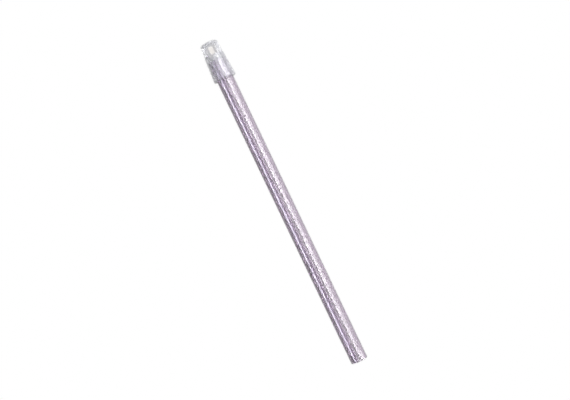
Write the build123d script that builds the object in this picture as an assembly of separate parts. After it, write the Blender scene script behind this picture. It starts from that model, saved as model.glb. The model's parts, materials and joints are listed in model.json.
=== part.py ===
from build123d import *
import math
import os

# Saliva ejector, in mm: a clear tinted tube extruded around a soft steel wire, with a
# clear moulded cap pushed over its mouth end. The tube's axis is X. The suction end is
# at X = 0, the cap is at the +X end, and the tube bends in the XY plane.

# Tube and wire
tube_length = 125.0
tube_od = 6.5
lumen_d = 4.5
wire_d = 1.0
wire_cover = 0.45        # plastic between the wire and each surface near it
wire_angle = 40.0        # degrees round the axis, from +Z towards +Y
rib_blend = 0.35         # radius where the wire's rib runs into the lumen wall

# Bend: the slices of tube that a hand curves, counted back from the mouth end
mouth_straight = 19.0    # straight tube beyond the last hinge, cap included
slice_count = 4
slice_length = 9.0       # from one hinge to the next

# Cap
cap_length = 15.0
cap_insertion = 7.5      # how far the tube goes in
cap_squeeze = 0.17       # how far the cap's grip presses the soft tube in, on the radius
cap_fit_gap = 0.03       # radial running gap round the squeezed tube
cap_stop_gap = 0.05      # between the tube's end and the cap's inner shoulder
cap_mouth_wall = 1.125   # plastic outside the tube's own radius at the cap's mouth
cap_taper = 3.82         # degrees between the cap's side and its axis
cap_top_thickness = 0.9
cap_dome = 0.15
cap_corner = 0.85
cap_lip = 0.3            # rounding of the mouth's outer edge
cap_lead_in = 0.25       # chamfer at the mouth of the bore
cap_shoulder = 0.65      # how far the inner shoulder covers the tube's end, radially
head_corner = 0.2
hole_d = 2.1
window_count = 4
window_length = 4.0
window_width = 3.2
window_corner = 0.55
window_setback = 0.2     # from the windows' ends to the inside of the top
window_angle = -13.5     # the first window's middle, from +Z towards +Y

tube_r = tube_od / 2
neck_r = tube_r - cap_squeeze
wire_offset = tube_r - wire_cover - wire_d / 2
rib_r = wire_d / 2 + wire_cover
last_hinge = tube_length - mouth_straight
first_hinge = last_hinge - slice_count * slice_length
cap_mouth_x = tube_length - cap_insertion
cap_mouth_r = tube_r + cap_mouth_wall
cap_top_r = cap_mouth_r - cap_length * math.tan(math.radians(cap_taper))
head_bore_r = tube_r - cap_shoulder
cap_floor = cap_length - cap_top_thickness
cap_crown = cap_length - cap_dome

# Sections are drawn in this plane, with their own x along +Y and their own y along +Z
section_plane = Plane(origin=(0, 0, 0), x_dir=(0, 1, 0), z_dir=(1, 0, 0))


def around(radius, angle):
    """The section point at this radius, with the angle measured from +Z towards +Y."""
    turn = math.radians(angle)
    return (radius * math.sin(turn), radius * math.cos(turn))


def wire_section():
    return Pos(*around(wire_offset, wire_angle)) * Circle(wire_d / 2)


def lumen_section():
    """A round passage with the wire's rib standing into it, blended at both feet."""
    rib = Pos(*around(wire_offset, wire_angle)) * Circle(rib_r)
    lumen = Circle(lumen_d / 2) - rib
    return fillet(lumen.vertices(), rib_blend)


def tube_section():
    return Circle(tube_r) - lumen_section() - wire_section()


def length_of(section, start, end):
    """The section carried along X from start to end."""
    return Pos(start, 0, 0) * extrude(section_plane * section, end - start)


def outside_of_neck():
    """The ring outside the tube where the cap grips it, with a sloping start."""
    ring = Polyline(
        (cap_mouth_x, tube_r),
        (cap_mouth_x + cap_lead_in, neck_r),
        (tube_length + cap_length, neck_r),
        (tube_length + cap_length, cap_mouth_r),
        (cap_mouth_x, cap_mouth_r),
        close=True,
    )
    return revolve(make_face(ring), Axis.X)


def cap_profile():
    """Half of the cap's long section: x along the axis from its mouth, y outwards."""
    bore_r = neck_r + cap_fit_gap
    shoulder = cap_insertion + cap_stop_gap
    wall = Polyline(
        (cap_crown, cap_top_r),
        (0, cap_mouth_r),
        (0, bore_r + cap_lead_in),
        (cap_lead_in, bore_r),
        (shoulder, bore_r),
        (shoulder, head_bore_r),
        (cap_floor, head_bore_r),
        (cap_floor, 0),
        (cap_length, 0),
    )
    dome_middle = (cap_length - cap_dome / 4, cap_top_r / 2)
    dome = ThreePointArc((cap_length, 0), dome_middle, (cap_crown, cap_top_r))
    return make_face(wall + dome)


def round_rim(solid, x, rim_r, radius):
    """Rounds the circular edge of this radius that lies at x along the axis."""
    rim = solid.edges().filter_by(GeomType.CIRCLE)
    rim = rim.sort_by(lambda e: abs(e.center().X - x) + abs(e.radius - rim_r))[0]
    return fillet(rim, radius)


def cap_window(angle):
    """A rounded slot through the side wall, ending just short of the inside of the top."""
    middle = cap_floor - window_setback - window_length / 2
    across, up = around(1, angle)
    face = Plane(origin=(middle, 0, 0), x_dir=(1, 0, 0), z_dir=(0, across, up))
    slot = RectangleRounded(window_length, window_width, window_corner)
    return extrude(face * slot, 2 * cap_mouth_r)


def tip_cap():
    cap = revolve(cap_profile(), Axis.X)
    cap = round_rim(cap, cap_crown, cap_top_r, cap_corner)
    cap = round_rim(cap, 0, cap_mouth_r, cap_lip)
    cap = round_rim(cap, cap_floor, head_bore_r, head_corner)
    cap -= Pos(cap_length, 0, 0) * Rot(0, 90, 0) * Cylinder(hole_d / 2, 4 * cap_top_thickness)
    for number in range(window_count):
        cap -= cap_window(window_angle + number * 360 / window_count)
    return Pos(cap_mouth_x, 0, 0) * cap


hinges = [first_hinge + number * slice_length for number in range(slice_count + 1)]
cuts = [0, *hinges, tube_length]
names = ["rear", *[f"bend_{number + 1}" for number in range(slice_count)], "front"]

parts = {"tip_cap": tip_cap()}
for name, start, end in zip(names, cuts, cuts[1:]):
    parts[f"tube_{name}"] = length_of(tube_section(), start, end)
    parts[f"wire_{name}"] = length_of(wire_section(), start, end)

parts["tube_front"] -= outside_of_neck()

os.makedirs("parts", exist_ok=True)
for node, shape in parts.items():
    export_step(shape.solid(), f"parts/{node}.step")
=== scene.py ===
import json
import math
import bpy
import numpy as np
from mathutils import Matrix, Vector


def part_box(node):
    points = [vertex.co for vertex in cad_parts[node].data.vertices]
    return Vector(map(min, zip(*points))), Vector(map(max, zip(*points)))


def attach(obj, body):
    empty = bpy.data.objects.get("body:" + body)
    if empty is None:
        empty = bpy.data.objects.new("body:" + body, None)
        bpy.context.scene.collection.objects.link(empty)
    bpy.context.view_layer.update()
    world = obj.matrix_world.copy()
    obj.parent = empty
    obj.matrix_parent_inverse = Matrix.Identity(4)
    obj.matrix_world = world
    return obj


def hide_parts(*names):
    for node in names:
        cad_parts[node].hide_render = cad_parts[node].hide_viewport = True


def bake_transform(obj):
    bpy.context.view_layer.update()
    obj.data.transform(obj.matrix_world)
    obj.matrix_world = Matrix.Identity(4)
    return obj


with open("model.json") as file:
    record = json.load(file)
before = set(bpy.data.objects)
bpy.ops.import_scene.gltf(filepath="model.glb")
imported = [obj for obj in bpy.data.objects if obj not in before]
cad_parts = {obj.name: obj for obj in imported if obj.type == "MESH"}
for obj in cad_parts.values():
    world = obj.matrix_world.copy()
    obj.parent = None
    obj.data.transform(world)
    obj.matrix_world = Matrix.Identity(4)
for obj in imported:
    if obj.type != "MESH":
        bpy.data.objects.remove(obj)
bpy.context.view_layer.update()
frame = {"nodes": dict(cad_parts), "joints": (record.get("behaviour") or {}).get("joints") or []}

mm = 0.001
print("frame loaded:", len(frame["nodes"]), "nodes")

# Everything below is in millimetres until makeMesh turns it to metres.
# The tube's axis is X: s or x runs along it, and a turn about it is measured from +Z towards +Y.


def linearColour(hexText, alpha=1.0):
    # each channel: the sRGB curve undone, so that 0.5 grey stays 0.5 grey to the eye
    channels = np.array([int(hexText[i:i + 2], 16) for i in (1, 3, 5)]) / 255
    linear = np.where(channels <= 0.04045, channels / 12.92, ((channels + 0.055) / 1.055) ** 2.4)
    return (*linear.tolist(), alpha)


def addNode(tree, kind, settings=None, links=None):
    # a node with its properties, its sockets' values and what feeds them; an integer key is a socket's number
    node = tree.nodes.new(kind)
    for key, value in (settings or {}).items():
        if isinstance(key, int) or key in node.inputs:
            node.inputs[key].default_value = value
        else:
            setattr(node, key, value)
    for key, source in (links or {}).items():
        tree.links.new(source, node.inputs[key])
    return node


def newMaterial(name):
    # an empty node material, and its tree
    material = bpy.data.materials.new(name)
    material.use_nodes = True
    material.node_tree.nodes.clear()
    return material, material.node_tree


def boxSize(node):
    # a CAD node's low corner, high corner, in millimetres
    low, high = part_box(node)
    return np.array(low) / mm, np.array(high) / mm


def gridFaces(rows, columns):
    # quads between neighbouring rows and columns of point numbers, both directions closed on themselves
    index = np.arange(rows * columns).reshape(rows, columns)
    nextRow = np.roll(index, -1, axis=0)
    nextColumn = np.roll(index, -1, axis=1)
    return np.stack([index, nextColumn, np.roll(nextRow, -1, axis=1), nextRow], axis=-1)


def makeMesh(name, points, faces, material, sharpAngle):
    # a closed mesh of quads, with its rest position kept on each point in millimetres. Its signed volume goes
    # as the sum of a . (b x c + c x d) over the faces, and if that is negative every face is turned round
    points = np.asarray(points, float)
    faces = np.asarray(faces).reshape(-1, 4)
    a, b, c, d = (points[faces[:, i]] for i in range(4))
    volume = np.einsum("ij,ij->i", a, np.cross(b, c) + np.cross(c, d)).sum()
    if volume < 0:
        faces = faces[:, ::-1]
    mesh = bpy.data.meshes.new(name)
    mesh.vertices.add(len(points))
    mesh.vertices.foreach_set("co", (points * mm).astype(np.float32).ravel())
    mesh.loops.add(faces.size)
    mesh.loops.foreach_set("vertex_index", faces.astype(np.int32).ravel())
    mesh.polygons.add(len(faces))
    mesh.polygons.foreach_set("loop_start", np.arange(0, faces.size, 4, dtype=np.int32))
    mesh.polygons.foreach_set("use_smooth", np.ones(len(faces), bool))
    mesh.update(calc_edges=True)
    mesh.validate()
    rest = mesh.attributes.new("restMm", "FLOAT_VECTOR", "POINT")
    rest.data.foreach_set("vector", points.astype(np.float32).ravel())
    mesh.set_sharp_from_angle(angle=math.radians(sharpAngle))
    mesh.materials.append(material)
    piece = bpy.data.objects.new(name, mesh)
    bpy.context.scene.collection.objects.link(piece)
    return piece


tubeLow, tubeHigh = boxSize("tube_rear")
wireLow, wireHigh = boxSize("wire_rear")
capLow, capHigh = boxSize("tip_cap")
frontLow, frontHigh = boxSize("tube_front")
tubeRadius = (tubeHigh[1] - tubeLow[1]) / 2
wireRadius = (wireHigh[1] - wireLow[1]) / 2
wireY, wireZ = (wireLow[1:] + wireHigh[1:]) / 2
wireOffset = math.hypot(wireY, wireZ)
wireTurn = math.atan2(wireY, wireZ)
tubeEnd = frontHigh[0]
capMouthX = capLow[0]
hinges = sorted(j["pos_m"][0] / mm for j in frame["joints"] if j["type"] == "hinge")
pitch = hinges[1] - hinges[0]
bendFrom, bendTo = hinges[0] - pitch / 2, hinges[-1] + pitch / 2
seams = [(a + b) / 2 for a, b in zip(hinges, hinges[1:])]
quarter = np.linspace(0, math.pi / 2, 5)     # steps of a quarter turn, for every rounded edge
print("tube radius", round(tubeRadius, 3), "and wire at", round(math.degrees(wireTurn), 1), "degrees")
print("hinges at", hinges)


tubePvc = {
    "name": "clearLavenderPvc",     # plasticised PVC extruded with a violet dye: glossy, soft edge glow
    "tint": "#FBF7FB",
    "roughness": 0.045,
    "roughnessSpread": 0.05,
    "ior": 1.53,
    "absorb": "#AE83B8",            # what is left of white after a long way through the plastic
    "absorbDensity": 235.0,         # per metre
    "dieLineMm": 0.35,              # spacing of the die's long lines, coarser than real ones so they show
    "dieLineStretch": 0.003,        # their width as a share of their length
    "dieLineHeight": 0.0006,        # in mm
    "waveMm": 9.0,                  # slow unevenness from cooling
    "waveHeight": 0.0004,
    "noiseLow": 0.35,               # the part of the noise that the roughness is spread over
    "noiseHigh": 0.7,
}


def makeTubePvc(look):
    # clear plastic that colours light by how far it travels inside; faces marked as seams let it straight on
    material, tree = newMaterial(look["name"])
    rest = addNode(tree, "ShaderNodeAttribute", {"attribute_name": "restMm"}).outputs["Vector"]
    lines = addNode(tree, "ShaderNodeVectorMath",
                    {"operation": "MULTIPLY", 1: (look["dieLineStretch"], 1.0, 1.0)}, {0: rest})
    dieLines = addNode(tree, "ShaderNodeTexNoise",
                       {"Scale": 1 / look["dieLineMm"], "Detail": 2.0, "Roughness": 0.6},
                       {"Vector": lines.outputs[0]})
    waves = addNode(tree, "ShaderNodeTexNoise", {"Scale": 1 / look["waveMm"], "Detail": 1.0},
                    {"Vector": rest})
    lineBump = addNode(tree, "ShaderNodeBump", {"Strength": 1.0, "Distance": look["dieLineHeight"] * mm},
                       {"Height": dieLines.outputs["Fac"]})
    waveBump = addNode(tree, "ShaderNodeBump", {"Strength": 1.0, "Distance": look["waveHeight"] * mm},
                       {"Height": waves.outputs["Fac"], "Normal": lineBump.outputs["Normal"]})
    rough = addNode(tree, "ShaderNodeMapRange",
                    {"From Min": look["noiseLow"], "From Max": look["noiseHigh"], "To Min": look["roughness"],
                     "To Max": look["roughness"] + look["roughnessSpread"]},
                    {"Value": dieLines.outputs["Fac"]})
    plastic = addNode(tree, "ShaderNodeBsdfPrincipled",
                      {"Base Color": linearColour(look["tint"]), "IOR": look["ior"],
                       "Transmission Weight": 1.0},
                      {"Roughness": rough.outputs["Result"], "Normal": waveBump.outputs["Normal"]})
    straightOn = addNode(tree, "ShaderNodeBsdfTransparent")
    seam = addNode(tree, "ShaderNodeAttribute", {"attribute_name": "seam"})
    surface = addNode(tree, "ShaderNodeMixShader", None,
                      {0: seam.outputs["Fac"], 1: plastic.outputs[0], 2: straightOn.outputs[0]})
    depth = addNode(tree, "ShaderNodeVolumeAbsorption",
                    {"Color": linearColour(look["absorb"]), "Density": look["absorbDensity"]})
    addNode(tree, "ShaderNodeOutputMaterial", None,
            {"Surface": surface.outputs[0], "Volume": depth.outputs[0]})
    return material


capPvc = {
    "name": "clearMouldedPvc",      # injection-moulded PVC, no filler: clear, near white, with a faint haze
    "tint": "#EBEBF2",
    "clear": 0.85,                  # the rest is the haze that scatters light in the moulding
    "cover": 0.53,                  # alpha: the rest of the light goes straight on unbent, for light walls
    "roughness": 0.12,
    "roughnessSpread": 0.06,
    "ior": 1.53,
    "gloss": 0.22,                  # weaker than plain PVC's 0.5, so that its highlight stays soft
    "absorb": "#BEC0CA",
    "absorbDensity": 62.0,          # per metre
    "grainMm": 0.5,                 # spark-eroded mould texture, coarser than the real 0.05 mm so it shows
    "grainHeight": 0.002,
    "noiseLow": 0.3,
    "noiseHigh": 0.7,
}


def makeCapPvc(look):
    # clear plastic with a faint moulded grain that blurs what is behind it
    material, tree = newMaterial(look["name"])
    rest = addNode(tree, "ShaderNodeAttribute", {"attribute_name": "restMm"}).outputs["Vector"]
    grain = addNode(tree, "ShaderNodeTexNoise",
                    {"Scale": 1 / look["grainMm"], "Detail": 3.0, "Roughness": 0.6},
                    {"Vector": rest})
    bump = addNode(tree, "ShaderNodeBump", {"Strength": 1.0, "Distance": look["grainHeight"] * mm},
                   {"Height": grain.outputs["Fac"]})
    rough = addNode(tree, "ShaderNodeMapRange",
                    {"From Min": look["noiseLow"], "From Max": look["noiseHigh"], "To Min": look["roughness"],
                     "To Max": look["roughness"] + look["roughnessSpread"]}, {"Value": grain.outputs["Fac"]})
    plastic = addNode(tree, "ShaderNodeBsdfPrincipled",
                      {"Base Color": linearColour(look["tint"]), "IOR": look["ior"],
                       "Transmission Weight": look["clear"], "Specular IOR Level": look["gloss"],
                       "Alpha": look["cover"]},
                      {"Roughness": rough.outputs["Result"], "Normal": bump.outputs["Normal"]})
    depth = addNode(tree, "ShaderNodeVolumeAbsorption",
                    {"Color": linearColour(look["absorb"]), "Density": look["absorbDensity"]})
    addNode(tree, "ShaderNodeOutputMaterial", None,
            {"Surface": plastic.outputs[0], "Volume": depth.outputs[0]})
    return material


wireSteel = {
    "name": "zincCoatedDrawnSteel",  # soft wire drawn through a die, then galvanised: pale, softly streaked
    "colour": "#E2E2E8",
    "dark": "#C6C6CE",
    "roughness": 0.3,
    "roughnessBelow": 0.06,
    "roughnessAbove": 0.08,
    "streakMm": 0.12,                # width of the drawing streaks, coarser than real ones so they show
    "streakStretch": 0.03,           # their width as a share of their length
    "streakHeight": 0.002,
}


def makeWireSteel(look):
    # metal whose shade and gloss vary in thin streaks along the wire
    material, tree = newMaterial(look["name"])
    rest = addNode(tree, "ShaderNodeAttribute", {"attribute_name": "restMm"}).outputs["Vector"]
    along = addNode(tree, "ShaderNodeVectorMath",
                    {"operation": "MULTIPLY", 1: (look["streakStretch"], 1.0, 1.0)}, {0: rest})
    streaks = addNode(tree, "ShaderNodeTexNoise", {"Scale": 1 / look["streakMm"], "Detail": 3.0},
                      {"Vector": along.outputs[0]})
    colour = addNode(tree, "ShaderNodeMix",
                     {"data_type": "RGBA", 6: linearColour(look["dark"]), 7: linearColour(look["colour"])},
                     {0: streaks.outputs["Fac"]})
    rough = addNode(tree, "ShaderNodeMapRange",
                    {"To Min": look["roughness"] - look["roughnessBelow"],
                     "To Max": look["roughness"] + look["roughnessAbove"]},
                    {"Value": streaks.outputs["Fac"]})
    bump = addNode(tree, "ShaderNodeBump", {"Strength": 1.0, "Distance": look["streakHeight"] * mm},
                   {"Height": streaks.outputs["Fac"]})
    steel = addNode(tree, "ShaderNodeBsdfPrincipled", {"Metallic": 1.0},
                    {"Base Color": colour.outputs[2], "Roughness": rough.outputs["Result"],
                     "Normal": bump.outputs["Normal"]})
    addNode(tree, "ShaderNodeOutputMaterial", None, {"Surface": steel.outputs[0]})
    return material


tubeMaterial = makeTubePvc(tubePvc)
capMaterial = makeCapPvc(capPvc)
wireMaterial = makeWireSteel(wireSteel)
print("materials made")


tube = {
    "lumenRadius": 2.25,
    "wireCover": 0.45,       # plastic between the wire and the lumen
    "ribBlend": 0.35,        # radius at the feet of the wire's rib
    "cutEdge": 0.05,         # softened corner left by the cutting knife
    "seamGap": 0.015,
    "bendRowMm": 0.5,        # row spacing where the tube bends
    "straightRowMm": 4.0,
    "neckSlope": 0.25,       # length over which the cap's grip starts
    "ribCells": 18,          # cells round half the section: on the rib, on its blend, on the round passage
    "blendCells": 10,
    "roundCells": 48,
    "cutCells": 6,           # cells across a cut end
    "seamTolerance": 0.01,
    "sharpAngle": 40,
}
neckSqueeze = tubeRadius - (frontHigh[1] - frontLow[1]) / 2


def lumenRadiusAt(turn, size):
    # distance from the axis to the lumen wall at a turn measured from the wire:
    # the near side of the rib's circle, then the far side of the blend circle, then the round passage
    ribRadius = wireRadius + size["wireCover"]
    blend = size["ribBlend"]
    blendReach = size["lumenRadius"] - blend
    gap = ribRadius + blend
    blendTurn = math.acos((blendReach**2 + wireOffset**2 - gap**2) / (2 * blendReach * wireOffset))
    blendAt = blendReach * np.array([math.cos(blendTurn), math.sin(blendTurn)])
    foot = np.array([wireOffset, 0]) + (blendAt - [wireOffset, 0]) * ribRadius / gap
    footTurn = math.atan2(foot[1], foot[0])
    t = np.abs(turn)
    rib = wireOffset * np.cos(t) - np.sqrt(np.maximum(ribRadius**2 - (wireOffset * np.sin(t)) ** 2, 0))
    side = t - blendTurn
    foot = blendReach * np.cos(side) + np.sqrt(np.maximum(blend**2 - (blendReach * np.sin(side)) ** 2, 0))
    radius = np.where(t < footTurn, rib, np.where(t < blendTurn, foot, size["lumenRadius"]))
    return radius, footTurn, blendTurn


def sectionTurns(size):
    # turns round the section, closer together on the rib and its blends
    footTurn, blendTurn = lumenRadiusAt(np.zeros(1), size)[1:]
    half = np.concatenate([
        np.linspace(0, footTurn, size["ribCells"] + 1)[:-1],
        np.linspace(footTurn, blendTurn, size["blendCells"] + 1)[:-1],
        np.linspace(blendTurn, math.pi, size["roundCells"] + 1)[:-1],
    ])
    return np.concatenate([half, [math.pi], -half[:0:-1]])


def rowsAlong(start, end, marks, size):
    # x of each row from start to end, by way of the marks between them: close together over the bend only
    stops = sorted({start, end, *[v for v in (bendFrom, bendTo, *marks) if start < v < end]})
    rows = []
    for a, b in zip(stops, stops[1:]):
        step = size["bendRowMm"] if bendFrom < (a + b) / 2 < bendTo else size["straightRowMm"]
        rows.append(np.linspace(a, b, max(2, round((b - a) / step) + 1))[:-1])
    return np.concatenate([*rows, [end]])


def tubePath(start, end, seamStart, seamEnd, size):
    # the closed outline of the wall cut lengthwise: x along it, and depth from 0 outside to 1 inside;
    # cut ends have quarter-round corners, seam ends are square
    outside = rowsAlong(start, end, (capMouthX, capMouthX + size["neckSlope"]), size)
    edgeStart = 0 if seamStart else size["cutEdge"]
    edgeEnd = 0 if seamEnd else size["cutEdge"]
    outside = np.clip(outside, start + edgeStart, end - edgeEnd)
    middle = np.linspace(0, 1, size["cutCells"] + 1)[1:-1]

    def endRing(at, edge, direction):
        # round over, down the cut face, round under: 1 - sin and 1 - cos of the steps of a quarter turn
        flat = np.full(len(middle), at)
        if edge == 0:
            return flat, middle
        sine, cosine = np.sin(quarter[1:]), np.cos(quarter[1:])
        x = np.concatenate([at - direction * edge * (1 - sine), flat, at - direction * edge * (1 - cosine)])
        depth = np.concatenate([edge * (1 - cosine), middle, 1 - edge * (1 - sine)])
        return x, depth

    endX, endDepth = endRing(end, edgeEnd, 1)
    startX, startDepth = endRing(start, edgeStart, -1)
    x = np.concatenate([outside, endX, outside[::-1], startX])
    depth = np.concatenate([np.zeros(len(outside)), endDepth, np.ones(len(outside)), 1 - startDepth])
    return x, depth


def tubePiece(name, start, end, seamStart, seamEnd, size):
    # each point sits at its turn, between the outer radius and the lumen radius by its depth
    turn = sectionTurns(size)
    inner = lumenRadiusAt(turn, size)[0]
    gap = size["seamGap"] / 2
    start, end = start + gap * seamStart, end - gap * seamEnd
    x, depth = tubePath(start, end, seamStart, seamEnd, size)
    outer = tubeRadius - neckSqueeze * np.clip((x - capMouthX) / size["neckSlope"], 0, 1)
    radius = outer[:, None] * (1 - depth[:, None]) + inner[None, :] * depth[:, None]
    around = turn + wireTurn
    points = np.stack([np.repeat(x[:, None], len(turn), axis=1),
                       radius * np.sin(around), radius * np.cos(around)], axis=-1).reshape(-1, 3)
    faces = gridFaces(len(x), len(turn))
    piece = makeMesh(name, points, faces, tubeMaterial, size["sharpAngle"])
    mesh = piece.data
    middle = np.zeros(len(mesh.polygons) * 3)
    normal = np.zeros(len(mesh.polygons) * 3)
    mesh.polygons.foreach_get("center", middle)
    mesh.polygons.foreach_get("normal", normal)
    middle, normal = middle.reshape(-1, 3) / mm, normal.reshape(-1, 3)
    isSeam = np.abs(normal[:, 0]) > 0.9      # the faces that look along the tube
    near = size["seamTolerance"]
    isSeam &= (seamStart & (middle[:, 0] < start + near)) | (seamEnd & (middle[:, 0] > end - near))
    seam = mesh.attributes.new("seam", "FLOAT", "FACE")
    seam.data.foreach_set("value", isSeam.astype(np.float32))
    return piece


# the tube in five lengths, each holding one hinge and meeting the next half-way between hinges
cuts = [0.0, *seams, tubeEnd]
standFor = [["tube_rear"], ["tube_bend_1"], ["tube_bend_2"], ["tube_bend_3"], ["tube_bend_4", "tube_front"]]
tubePieces = []
for k, (start, end) in enumerate(zip(cuts, cuts[1:])):
    piece = tubePiece(f"tubeLength{k + 1}", start, end, k > 0, k < len(seams), tube)
    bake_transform(piece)
    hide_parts(*standFor[k])
    tubePieces.append(piece)
print("tube made:", sum(len(p.data.polygons) for p in tubePieces), "faces")


wire = {
    "sides": 28,
    "proud": 0.03,           # how far the sheared ends stand out of the soft tube
    "edge": 0.06,
    "bendRowMm": 0.6,
    "straightRowMm": 5.0,
    "endRings": (0.75, 0.5, 0.25, 0.02),     # shares of the flat end's radius, the last one closing it
    "sharpAngle": 50,
}


def wirePiece(name, start, end, endStart, endEnd, size):
    # a round bar: radius against x, with rounded sheared ends, closed by a small ring at each end
    edge = size["edge"]
    side = np.clip(rowsAlong(start, end, (), size), start + edge * endStart, end - edge * endEnd)
    fromEdge = np.array(size["endRings"]) * (wireRadius - edge)

    def close(at, rounded, direction):
        # x and radius of the rings that close an end, over its rounded edge first where it has one
        flat = np.full(len(fromEdge), at)
        if not rounded:
            return flat, fromEdge
        x = np.concatenate([at - direction * edge * (1 - np.sin(quarter[1:])), flat])
        return x, np.concatenate([wireRadius - edge * (1 - np.cos(quarter[1:])), fromEdge])

    endX, endRadius = close(end, endEnd, 1)
    startX, startRadius = close(start, endStart, -1)
    x = np.concatenate([startX[::-1], side, endX])
    radius = np.concatenate([startRadius[::-1], np.full(len(side), wireRadius), endRadius])
    turn = np.linspace(0, 2 * math.pi, size["sides"], endpoint=False)
    points = np.stack([np.repeat(x[:, None], len(turn), axis=1),
                       wireY + radius[:, None] * np.sin(turn),
                       wireZ + radius[:, None] * np.cos(turn)], axis=-1).reshape(-1, 3)
    faces = gridFaces(len(x), len(turn))
    piece = makeMesh(name, points, faces, wireMaterial, size["sharpAngle"])
    return piece


wireFor = [["wire_rear"], ["wire_bend_1"], ["wire_bend_2"], ["wire_bend_3"], ["wire_bend_4", "wire_front"]]
for k, (start, end) in enumerate(zip(cuts, cuts[1:])):
    first, last = k == 0, k == len(seams)
    piece = wirePiece(f"wireLength{k + 1}", start - wire["proud"] * first, end + wire["proud"] * last,
                      first, last, wire)
    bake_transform(piece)
    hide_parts(*wireFor[k])
print("wire made")


cap = {
    "fullLength": 15.0,      # from the mouth to the top of the dome, before the hole is cut
    "insertion": 7.5,        # how far the tube goes in
    "stopGap": 0.05,
    "fitGap": 0.03,
    "taper": 3.82,           # degrees
    "mouthWall": 1.125,
    "topThickness": 0.9,
    "dome": 0.15,
    "topCorner": 0.85,
    "lip": 0.3,
    "leadIn": 0.25,
    "shoulder": 0.65,
    "headCorner": 0.2,
    "holeRadius": 1.05,
    "holeEdge": 0.12,        # roundings: the hole's outer and inner edge, then from the stop to the mouth
    "holeFoot": 0.1,
    "stopEdge": 0.07,
    "stopFoot": 0.08,
    "leadInEdge": 0.1,
    "mouthEdge": 0.05,
    "windowCount": 4,
    "windowLength": 4.0,
    "windowWidth": 3.2,
    "windowSetback": 0.2,
    "windowTurn": -13.5,     # degrees
    "windowSquareness": 7,   # power of the squared oval: 2 is an ellipse, more is squarer
    "windowLip": 0.07,       # softened edges of the windows
    "blockTurn": 42.0,       # half the turn of the stretch of wall remeshed round a window
    "blockBelow": 0.6,
    "cellsAround": 22,
    "cellsAlong": 20,
    "barCells": 2,
    "ringsOutside": (0.25, 0.5, 0.75, 0.9),  # each ring's share of the way from the block's edge
    "ringsThrough": (0.33, 0.67),
    "ringsInside": (0.2, 0.5),
    "sharpAngle": 45,
}


def capLevels(size):
    # outer radius at the mouth, its fall per millimetre, the head's inner radius, and s of its inner floor
    slope = math.tan(math.radians(size["taper"]))
    floor = size["fullLength"] - size["topThickness"]
    return tubeRadius + size["mouthWall"], slope, tubeRadius - size["shoulder"], floor


def capProfile(size):
    # the cap's long section as one closed loop from the mouth: straight runs with rounded corners.
    # Each corner is (s, r, rounding radius, cells in the run that leads to it, cells in its rounding)
    mouthRadius, slope, head, floor = capLevels(size)
    topRadius = mouthRadius - size["fullLength"] * slope
    crown = size["fullLength"] - size["dome"]
    bore = tubeRadius - neckSqueeze + size["fitGap"]
    stop = size["insertion"] + size["stopGap"]
    low = floor - size["windowSetback"] - size["windowLength"] - size["blockBelow"]
    hole = size["holeRadius"]
    corners = [
        (0.0, mouthRadius, size["lip"], 5, 6),
        (low, mouthRadius - low * slope, 0.0, 14, 0),
        (crown, topRadius, size["topCorner"], size["cellsAlong"], 10),
        (crown + size["dome"] * (1 - (hole / topRadius) ** 2), hole, size["holeEdge"], 8, 4),
        (floor, hole, size["holeFoot"], 4, 4),
        (floor, head, size["headCorner"], 5, 4),
        (low, head, 0.0, size["cellsAlong"] - 4, 0),
        (stop, head, size["stopEdge"], 3, 4),
        (stop, bore, size["stopFoot"], 2, 3),
        (size["leadIn"], bore, size["leadInEdge"], 10, 3),
        (0.0, bore + size["leadIn"], size["mouthEdge"], 2, 3),
    ]
    at = np.array([c[:2] for c in corners])
    before, after = np.roll(at, 1, axis=0) - at, np.roll(at, -1, axis=0) - at
    unitBefore = before / np.linalg.norm(before, axis=1, keepdims=True)
    unitAfter = after / np.linalg.norm(after, axis=1, keepdims=True)
    half = np.arccos(np.clip((unitBefore * unitAfter).sum(axis=1), -1, 1)) / 2
    radii = np.array([c[2] for c in corners])
    reach = np.where(radii > 0, radii / np.tan(half), 0)
    arrive = at + unitBefore * reach[:, None]
    leave = at + unitAfter * reach[:, None]
    loop, marks = [], []
    for i, corner in enumerate(corners):
        radius, runCells, roundCells = corner[2:]
        run = np.linspace(leave[i - 1], arrive[i], runCells + 1)[1:]
        loop.append(run)
        marks.append(sum(len(p) for p in loop) - 1)
        if radius > 0:
            towards = unitBefore[i] + unitAfter[i]
            centre = at[i] + towards / np.linalg.norm(towards) * radius / math.sin(half[i])
            first, last = arrive[i] - centre, leave[i] - centre
            share = np.linspace(0, 1, roundCells + 1)[1:, None]
            sweep = math.pi - 2 * half[i]
            arc = (first * np.sin((1 - share) * sweep) + last * np.sin(share * sweep)) / math.sin(sweep)
            loop.append(centre + arc)
    return np.concatenate(loop), marks


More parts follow.
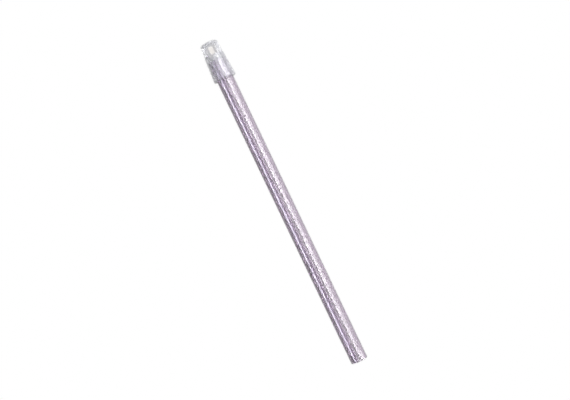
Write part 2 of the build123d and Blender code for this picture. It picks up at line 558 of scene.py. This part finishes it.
def makeCap(size):
    # the profile turned about the axis as a grid, with four blocks of the grid left out of the wall;
    # each block is filled by rings that run from its outer edge over the window's lip, through the wall
    # and out to its inner edge. A ring's outline is a squared oval |x|^p + |y|^p = 1
    profile, marks = capProfile(size)
    rows = len(profile)
    cellsAround, cellsAlong = size["cellsAround"], size["cellsAlong"]
    blockTurn = math.radians(size["blockTurn"])
    sector = 2 * math.pi / size["windowCount"]
    inBlock = np.linspace(-blockTurn, blockTurn, cellsAround + 1)
    inBar = np.linspace(blockTurn, sector - blockTurn, size["barCells"] + 1)[1:-1]
    oneSector = np.concatenate([inBlock, inBar])
    perSector = len(oneSector)
    starts = math.radians(size["windowTurn"]) + sector * np.arange(size["windowCount"])
    turn = (starts[:, None] + oneSector[None, :]).ravel()
    columns = len(turn)
    grid = np.stack([capMouthX + np.repeat(profile[:, :1], columns, axis=1),
                     profile[:, 1:] * np.sin(turn), profile[:, 1:] * np.cos(turn)], axis=-1)
    faces = gridFaces(rows, columns)
    outerLow, outerHigh, innerLow = marks[1], marks[2], marks[6]     # rows at the block's ends
    innerHigh = innerLow - cellsAlong
    keep = np.ones((rows, columns), bool)
    blockStarts = np.arange(size["windowCount"])[:, None] * perSector
    blockColumns = (blockStarts + np.arange(cellsAround)[None, :]).ravel()
    keep[outerLow:outerHigh, blockColumns] = False
    keep[innerHigh:innerLow, blockColumns] = False
    allPoints, allFaces = [grid.reshape(-1, 3)], [faces[keep]]

    # round the block's edge: step i along the axis, step j about it
    i = np.concatenate([np.zeros(cellsAround), np.arange(cellsAlong), np.full(cellsAround, cellsAlong),
                        np.arange(cellsAlong, 0, -1)]).astype(int)
    j = np.concatenate([np.arange(cellsAround), np.full(cellsAlong, cellsAround),
                        np.arange(cellsAround, 0, -1), np.zeros(cellsAlong)]).astype(int)
    outerRow = outerLow + i
    innerRow = innerLow - i
    along, across = 2 * i / cellsAlong - 1, 2 * j / cellsAround - 1
    power = size["windowSquareness"]
    shrink = (np.abs(along) ** power + np.abs(across) ** power) ** (-1 / power)
    along, across = along * shrink, across * shrink
    mouthRadius, slope, head, floor = capLevels(size)
    middle = floor - size["windowSetback"] - size["windowLength"] / 2
    lip = size["windowLip"]

    def outline(grow, depth, fromInside):
        # the window's outline grown by some millimetres, at a depth under the outer or the inner surface
        s = middle + along * (size["windowLength"] / 2 + grow)
        y = across * (size["windowWidth"] / 2 + grow)
        r = np.full(len(s), head + depth) if fromInside else mouthRadius - s * slope - depth
        return np.stack([s, r, np.arcsin(y / r)], axis=-1)

    lipOut = [outline(lip * (1 - math.sin(q)), lip * (1 - math.cos(q)), False) for q in quarter]
    lipIn = [outline(lip * (1 - math.sin(q)), lip * (1 - math.cos(q)), True) for q in quarter[::-1]]
    edgeOut = np.stack([profile[outerRow, 0], profile[outerRow, 1], inBlock[j]], axis=-1)
    edgeIn = np.stack([profile[innerRow, 0], profile[innerRow, 1], inBlock[j]], axis=-1)
    rings = [edgeOut + (lipOut[0] - edgeOut) * f for f in size["ringsOutside"]]
    rings += lipOut
    rings += [lipOut[-1] + (lipIn[0] - lipOut[-1]) * f for f in size["ringsThrough"]]
    rings += lipIn
    rings += [lipIn[-1] + (edgeIn - lipIn[-1]) * f for f in size["ringsInside"]]
    rings = np.array(rings)
    around = rings.shape[1]
    count = rows * columns
    for k, windowTurn in enumerate(starts):
        turns = rings[..., 2] + windowTurn
        points = np.stack([capMouthX + rings[..., 0], rings[..., 1] * np.sin(turns),
                           rings[..., 1] * np.cos(turns)], axis=-1)
        new = count + np.arange(points.shape[0] * around).reshape(points.shape[0], around)
        first = outerRow * columns + k * perSector + j
        last = innerRow * columns + k * perSector + j
        index = np.concatenate([first[None, :], new, last[None, :]])
        allPoints.append(points.reshape(-1, 3))
        allFaces.append(np.stack([index[:-1], np.roll(index[:-1], -1, axis=1),
                                  np.roll(index[1:], -1, axis=1), index[1:]], axis=-1).reshape(-1, 4))
        count += points.shape[0] * around
    return makeMesh("tipCap", np.concatenate(allPoints), np.concatenate(allFaces), capMaterial,
                    size["sharpAngle"])


capPiece = makeCap(cap)
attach(capPiece, "cap")
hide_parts("tip_cap")
print("cap made:", len(capPiece.data.polygons), "faces")


studio = {
    "floorSize": 900.0,
    "floorColour": "#898989",    # what the object sees under it; the camera sees the floor bleached white
    "floorRoughness": 0.9,
    "floorGlow": 0.12,
    "paintedShadowColour": "#EFEBE8",    # a painted shadow on the floor under the cap, warm in tone, seen through the cap's windows
    "paintedShadowLength": 9.0,          # measured back from the cap's front; it stays there when the cap moves
    "paintedShadowInset": 0.2,           # how far its sides lie inside the tube's
    "paintedShadowEdge": 2.0,            # how softly it ends
    "roomColour": "#FFFFFF",
    "roomBrightness": 0.45,
    "lampDistance": 600.0,
    "lampLength": 700.0,         # every softbox is a long one, laid along the tube
    "softboxes": {               # degrees from straight up (less than 0: the tube's right), width, brightness
        "keyHigh": (-28.0, 110.0, 16.0),
        "key": (-45.0, 190.0, 8.5),
        "keyLow": (-65.0, 150.0, 7.0),
        "top": (0.0, 300.0, 2.8),
    },
}


def makeFloor(size, middleX):
    # a plane that touches the cap's mouth rim and the tube's rear end: z = slope x - the tube's radius
    slope = (capLow[2] + tubeRadius) / capMouthX
    half = size["floorSize"]
    x = np.array([-half, half, half, -half])
    y = np.array([-half, -half, half, half])
    points = np.stack([x, y, -tubeRadius + slope * x], axis=-1) * mm
    mesh = bpy.data.meshes.new("floor")
    mesh.from_pydata(points.tolist(), [], [(0, 1, 2, 3)])
    material, tree = newMaterial("whiteLightTable")
    paper = addNode(tree, "ShaderNodeBsdfPrincipled",
                    {"Base Color": linearColour(size["floorColour"]), "Roughness": size["floorRoughness"],
                     "Emission Color": linearColour("#FFFFFF"), "Emission Strength": size["floorGlow"]})
    # bleached to plain white where it is looked at, but for a painted shadow under the cap's windows
    paintedShadowX = 2 * middleX - size["paintedShadowLength"] / 2
    place = addNode(tree, "ShaderNodeTexCoord").outputs["Object"]
    fromMiddle = addNode(tree, "ShaderNodeVectorMath",
                         {"operation": "SUBTRACT", 1: (paintedShadowX * mm, 0, 0)}, {0: place})
    away = addNode(tree, "ShaderNodeVectorMath", {"operation": "ABSOLUTE"}, {0: fromMiddle.outputs[0]})
    apart = addNode(tree, "ShaderNodeSeparateXYZ", None, {0: away.outputs[0]})
    edge = size["paintedShadowEdge"] * mm
    sides = [addNode(tree, "ShaderNodeMapRange",
                     {"interpolation_type": "SMOOTHSTEP", "From Min": reach * mm - edge,
                      "From Max": reach * mm, "To Min": 1.0, "To Max": 0.0},
                     {"Value": apart.outputs[k]}).outputs["Result"]
             for k, reach in ((0, size["paintedShadowLength"] / 2), (1, tubeRadius - size["paintedShadowInset"]))]
    # the painted shadow's mask: 1 inside the patch, easing to 0 at its edges
    under = addNode(tree, "ShaderNodeMath", {"operation": "MULTIPLY"}, {0: sides[0], 1: sides[1]})
    shade = addNode(tree, "ShaderNodeMix",
                    {"data_type": "RGBA", 6: linearColour("#FFFFFF"), 7: linearColour(size["paintedShadowColour"])},
                    {0: under.outputs[0]})
    bleached = addNode(tree, "ShaderNodeEmission", {"Strength": 1.0}, {"Color": shade.outputs[2]})
    seen = addNode(tree, "ShaderNodeLightPath")
    table = addNode(tree, "ShaderNodeMixShader", None,
                    {0: seen.outputs["Is Camera Ray"], 1: paper.outputs[0], 2: bleached.outputs[0]})
    addNode(tree, "ShaderNodeOutputMaterial", None, {"Surface": table.outputs[0]})
    mesh.materials.append(material)
    floor = bpy.data.objects.new("floor", mesh)
    bpy.context.scene.collection.objects.link(floor)


def makeSoftbox(name, size, middleX):
    # a glowing rectangle on an arc over the tube, facing it; brightness 1 looks as white as lit paper
    turn, width, brightness = size["softboxes"][name]
    length, distance = size["lampLength"], size["lampDistance"]
    light = bpy.data.lights.new(name + "Softbox", "AREA")
    light.shape = "RECTANGLE"
    light.size, light.size_y = length * mm, width * mm
    light.energy = math.pi * length * mm * width * mm * brightness
    lamp = bpy.data.objects.new(name + "Softbox", light)
    turn = math.radians(turn)
    lamp.location = (middleX * mm, distance * mm * math.sin(turn), distance * mm * math.cos(turn))
    lamp.rotation_euler = (-turn, 0, 0)
    bpy.context.scene.collection.objects.link(lamp)


def makeWorld(size):
    # a dim even room for the object's reflections, with a white backdrop where it is looked at
    world = bpy.data.worlds.new("studioRoom")
    world.use_nodes = True
    tree = world.node_tree
    tree.nodes.clear()
    room = addNode(tree, "ShaderNodeBackground",
                   {"Color": linearColour(size["roomColour"]), "Strength": size["roomBrightness"]})
    backdrop = addNode(tree, "ShaderNodeBackground", {"Color": linearColour("#FFFFFF"), "Strength": 1.0})
    seen = addNode(tree, "ShaderNodeLightPath")
    both = addNode(tree, "ShaderNodeMixShader", None,
                   {0: seen.outputs["Is Camera Ray"], 1: room.outputs[0], 2: backdrop.outputs[0]})
    addNode(tree, "ShaderNodeOutputWorld", None, {"Surface": both.outputs[0]})
    bpy.context.scene.world = world


camera = {
    "distance": 370.0,
    "lens": 62.0,
    "roll": 25.5,            # the tube's lean from upright in the frame, tip to the left
    "tilt": 0.5,             # degrees the camera stands towards the tip
    "aimRight": 0.46,        # millimetres from the object's middle
    "aimUp": 0.65,
    "clipNear": 0.01,        # metres
    "clipFar": 10,
}

lightPaths = {
    "max_bounces": 24,       # enough to cross both walls of the tube, the wire's rib and the cap
    "transmission_bounces": 20,
    "transparent_max_bounces": 24,
    "glossy_bounces": 8,
    "caustics_refractive": False,
    "caustics_reflective": False,
    "filter_width": 2.0,     # a little softer than the default 1.5
}


def makeCamera(size, middle):
    # looks down on the object's middle, with the tip up and leaning left
    roll, tilt = math.radians(size["roll"]), math.radians(size["tilt"])
    back = np.array([math.sin(tilt), 0, math.cos(tilt)])
    alongAxis = np.array([math.cos(tilt), 0, -math.sin(tilt)])
    left = np.array([0, 1.0, 0])
    up = math.cos(roll) * alongAxis - math.sin(roll) * left
    right = np.cross(up, back)
    aim = middle + size["aimRight"] * right + size["aimUp"] * up
    data = bpy.data.cameras.new("camera")
    data.lens = size["lens"]
    data.clip_start, data.clip_end = size["clipNear"], size["clipFar"]
    rig = bpy.data.objects.new("camera", data)
    place = np.eye(4)
    place[:3, 0], place[:3, 1], place[:3, 2] = right, up, back
    place[:3, 3] = (aim + size["distance"] * back) * mm
    rig.matrix_world = Matrix(place.tolist())
    bpy.context.scene.collection.objects.link(rig)
    bpy.context.scene.camera = rig


wholeMiddle = np.array([(tubeLow[0] + capHigh[0]) / 2, 0, 0])
makeFloor(studio, wholeMiddle[0])
for name in studio["softboxes"]:
    makeSoftbox(name, studio, wholeMiddle[0])
makeWorld(studio)
makeCamera(camera, wholeMiddle)
scene = bpy.context.scene
scene.view_settings.view_transform = "Standard"
for key, value in lightPaths.items():
    setattr(scene.cycles, key, value)
print("stage, lights and camera made")
